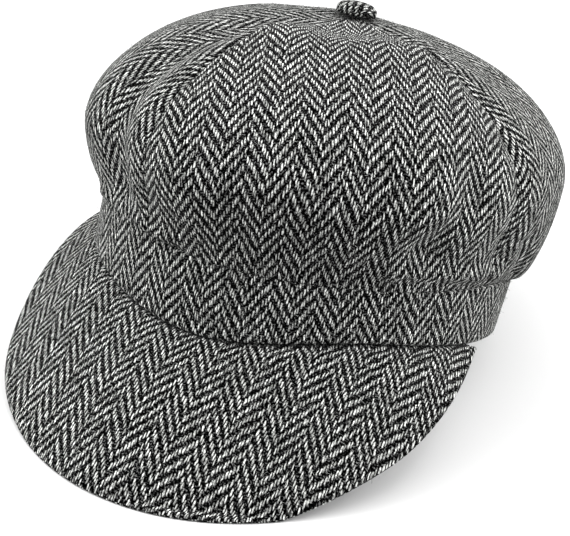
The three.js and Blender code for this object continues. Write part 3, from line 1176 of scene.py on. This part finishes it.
@dataclass(frozen=True)
class WoolFuzz:
    """Loose wool fibres that stand off the cloth: they soften every edge and cross the dark yarns.

    density is by the square metre, patches by the metre, and length and width are in millimetres.
    bend and tip are points of a fibre of length 1. shortest and longest are shares of the length.
    """

    density: float = 0.1e6
    length: float = 2.0
    width: float = 0.1
    seed: int = 5
    light: str = "#9b9c99"
    dark: str = "#161716"
    patches: float = 700.0
    mixed: tuple[float, ...] = (0.4, 0.6, 0.0, 1.0)
    bend: tuple[float, float, float] = (0.2, 0.1, 0.45)
    tip: tuple[float, float, float] = (0.95, -0.1, 0.25)
    lean: float = 0.6
    shortest: float = 0.35
    longest: float = 1.3

    def material(self) -> Material:
        """Grey and dark wool fibres with no gloss, in patches far smaller than a thumb nail.

        Returns:
            The material.
        """
        made, tree = blank_material("wool_fibre")
        place = add(tree, "ShaderNodeTexCoord", {})["Object"]
        chance = add(tree, NOISE, {"Vector": place, "Scale": self.patches, "Detail": 1.0})[0]
        share = add(tree, RANGE, dict(enumerate((chance, *self.mixed))))[0]
        shades = {0: share, 6: linear(self.light), 7: linear(self.dark)}
        colour = add(tree, MIX, shades, data_type="RGBA")[2]
        look = {"Base Color": colour, "Roughness": 1.0, "Specular IOR Level": 0.0}
        add(tree, SURFACE, {"Surface": add(tree, PRINCIPLED, look)[0]})
        return made

    def tree(self) -> NodeTree:
        """Builds the geometry tree that stands bent fibres on the outside of a piece.

        Returns:
            The tree, with its sizes, seed and material as named inputs.
        """
        made = bpy.data.node_groups.new("wool_fuzz", "GeometryNodeTree")
        sockets = (
            ("Geometry", "NodeSocketGeometry"),
            ("Density", "NodeSocketFloat"),
            ("Length", "NodeSocketFloat"),
            ("Width", "NodeSocketFloat"),
            ("Seed", "NodeSocketInt"),
            ("Material", "NodeSocketMaterial"),
        )
        for name, kind in sockets:
            made.interface.new_socket(name, in_out="INPUT", socket_type=kind)
        made.interface.new_socket("Geometry", in_out="OUTPUT", socket_type="NodeSocketGeometry")
        given = add(made, "NodeGroupInput", {})
        outside = add(made, "GeometryNodeInputNamedAttribute", {"Name": OUTSIDE}, data_type="BOOLEAN")
        sown = {"Mesh": given["Geometry"], "Selection": outside[0]}
        sown.update({name: given[name] for name in ("Density", "Seed")})
        spread = add(made, "GeometryNodeDistributePointsOnFaces", sown)
        curve = {"Resolution": 3, "Start": (0, 0, 0), "Middle": self.bend, "End": self.tip}
        bend = add(made, "GeometryNodeCurveQuadraticBezier", curve)[0]
        slim = add(made, MATH, {0: given["Width"], 1: given["Length"]}, operation="DIVIDE")[0]
        reach = add(made, "ShaderNodeCombineXYZ", {0: slim})[0]
        flat = add(made, "GeometryNodeCurvePrimitiveLine", {"Start": (0, 0, 0), "End": reach})[0]
        fibre = add(made, "GeometryNodeCurveToMesh", {"Curve": bend, "Profile Curve": flat})[0]
        least, most = (Vector((side * self.lean, side * self.lean, side * math.pi)) for side in (-1, 1))
        leans = {0: least, 1: most, "Seed": given["Seed"]}
        turns = add(made, "FunctionNodeRandomValue", leans, data_type="FLOAT_VECTOR")[0]
        twists = {0: spread["Rotation"], 1: add(made, "FunctionNodeEulerToRotation", {0: turns})[0]}
        stand = add(made, "FunctionNodeRotateRotation", twists, rotation_space="LOCAL")[0]
        lengths = {2: self.shortest, 3: self.longest, "Seed": given["Seed"]}
        share = add(made, "FunctionNodeRandomValue", lengths, data_type="FLOAT")[1]
        size = add(made, MATH, {0: share, 1: given["Length"]}, operation="MULTIPLY")[0]
        planted = {"Points": spread["Points"], "Instance": fibre, "Rotation": stand, "Scale": size}
        fibres = add(made, "GeometryNodeInstanceOnPoints", planted)[0]
        real = add(made, "GeometryNodeRealizeInstances", {"Geometry": fibres})[0]
        clad = {"Geometry": real, "Material": given["Material"]}
        add(made, "NodeGroupOutput", {"Geometry": add(made, "GeometryNodeSetMaterial", clad)[0]})
        return made

    def dress(self, pieces: list[Object]) -> None:
        """Grows fuzz on each piece, as a piece of its own.

        Args:
            pieces: The cloth pieces.
        """
        tree = self.tree()
        keys = {item.name: item.identifier for item in tree.interface.items_tree if item.in_out == "INPUT"}
        wool = self.material()
        for number, host in enumerate(pieces):
            grown = host.modifiers.new("fuzz", "NODES")
            grown.node_group = tree
            grown[keys["Density"]] = self.density
            grown[keys["Length"]] = self.length * MM
            grown[keys["Width"]] = self.width * MM
            grown[keys["Seed"]] = self.seed + number
            grown[keys["Material"]] = wool
            graph = bpy.context.evaluated_depsgraph_get()
            mesh = bpy.data.meshes.new_from_object(host.evaluated_get(graph), depsgraph=graph)
            host.modifiers.remove(grown)
            mesh.name = host.name.replace("_cloth", "_fuzz")
            fuzz = show(mesh.name, mesh)
            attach(fuzz, BODY)
            log.info("%s: %d faces", fuzz.name, len(mesh.polygons))


@dataclass(frozen=True)
class Lamp:
    """A broad square lamp, with its place and side in metres and its power in watts."""

    name: str
    place: tuple[float, float, float]
    side: float
    power: float


@dataclass
class Studio:
    """A plain pale floor, soft light and the camera at the photograph's angle."""

    form: CapForm
    azimuth: float = 25.0
    elevation: float = 27.53
    roll: float = 6.18
    distance: float = 802.0
    focal_pixels: float = 1861.9
    rim_centre_pixel: tuple[float, float] = (296.4, 293.1)
    sensor: float = 36.0
    floor_colour: str = "#b4b4b4"
    floor_roughness: float = 0.9
    floor_half: float = 3.0
    near: float = 0.01
    sky_colour: str = "#ffffff"
    sky_strength: float = 0.75
    lamp_aim: tuple[float, float, float] = (0.0, 0.0, 0.07)
    lamps: tuple[Lamp, ...] = (
        Lamp("overhead", (0.0, 0.0, 1.0), 1.0, 7.6),
        Lamp("high_left", (-0.6, -0.28, 0.9), 0.8, 9.5),
        Lamp("low_left", (-0.91, -0.42, 0.45), 0.8, 17.5),
        Lamp("high_right", (0.6, 0.28, 0.9), 0.8, 9.5),
        Lamp("low_right", (0.91, 0.42, 0.45), 0.8, 16.5),
        Lamp("low_front", (0.45, -0.95, 0.1), 0.8, 3.4),
    )

    def build_camera(self) -> None:
        """Places the camera so that the middle of the rim falls on its pixel."""
        azimuth, elevation, roll = (math.radians(x) for x in (self.azimuth, self.elevation, self.roll))
        level = math.cos(elevation)
        away = Vector((math.sin(azimuth) * level, -math.cos(azimuth) * level, math.sin(elevation)))
        right = Vector((math.cos(azimuth), math.sin(azimuth), 0.0))
        up = away.cross(right)
        right, up = (
            right * math.cos(roll) + up * math.sin(roll),
            up * math.cos(roll) - right * math.sin(roll),
        )
        off_x = self.rim_centre_pixel[0] - PHOTO_WIDTH / 2
        off_y = self.rim_centre_pixel[1] - PHOTO_HEIGHT / 2
        look = (-away * self.focal_pixels - right * off_x + up * off_y).normalized()
        right = (right - look * right.dot(look)).normalized()
        up = right.cross(look)
        data = bpy.data.cameras.new("photo_camera")
        data.sensor_width = self.sensor
        data.lens = self.focal_pixels / PHOTO_WIDTH * self.sensor
        data.clip_start = self.near
        camera = show("photo_camera", data)
        turn = Matrix((right, up, -look)).transposed().to_4x4()
        place = Vector(self.form.rim_centre) * MM + away * self.distance * MM
        camera.matrix_world = Matrix.Translation(place) @ turn
        bpy.context.scene.camera = camera

    def build_floor(self) -> None:
        """A wide pale floor under the cap."""
        half = self.floor_half
        mesh = bpy.data.meshes.new("floor")
        corners = [(-half, -half, 0), (half, -half, 0), (half, half, 0), (-half, half, 0)]
        mesh.from_pydata(corners, [], [(0, 1, 2, 3)])
        # Matt white paper, which gives the eye a clean ground with a soft shadow
        paper, tree = blank_material("white_paper")
        look = {"Base Color": linear(self.floor_colour), "Roughness": self.floor_roughness}
        add(tree, SURFACE, {"Surface": add(tree, PRINCIPLED, look)[0]})
        mesh.materials.append(paper)
        show("floor", mesh)

    def build_light(self) -> None:
        """A white tent all round, with broad lamps overhead, on both sides and low in front."""
        world = bpy.data.worlds.new("tent")
        bpy.context.scene.world = world
        world.use_nodes = True
        tree = world.node_tree
        tree.nodes.clear()
        white = {"Color": linear(self.sky_colour), "Strength": self.sky_strength}
        sky = add(tree, "ShaderNodeBackground", white)[0]
        add(tree, "ShaderNodeOutputWorld", {"Surface": sky})
        for lamp in self.lamps:
            data = bpy.data.lights.new(lamp.name, "AREA")
            data.size = lamp.side
            data.energy = lamp.power
            made = show(lamp.name, data)
            made.location = lamp.place
            aim = Vector(self.lamp_aim) - Vector(lamp.place)
            made.rotation_euler = aim.to_track_quat("-Z", "Y").to_euler()
        bpy.context.scene.view_settings.view_transform = "Standard"


def main() -> None:
    """Builds the studio and every piece of the cap."""
    logging.basicConfig(level=logging.INFO, format="%(message)s")
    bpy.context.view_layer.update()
    form = CapForm()
    studio = Studio(form)
    studio.build_camera()
    studio.build_floor()
    studio.build_light()
    tweed = HerringboneTweed().material()
    crown = Crown(form, tweed)
    crown.build()
    band = Band(form, tweed, Lay(turn=-1.6, across=1.8, ease=1.02, fan=2.5), middle_deg=31.25).build()
    peak = Peak(form, tweed, Lay(turn=0.1, across=12.0, ease=0.984, shear=0.04, fan=4.3)).build()
    button = Button(form, tweed).build()
    WoolFuzz().dress([*crown.panels.values(), band, peak, button])


if __name__ == "__main__":
    main()
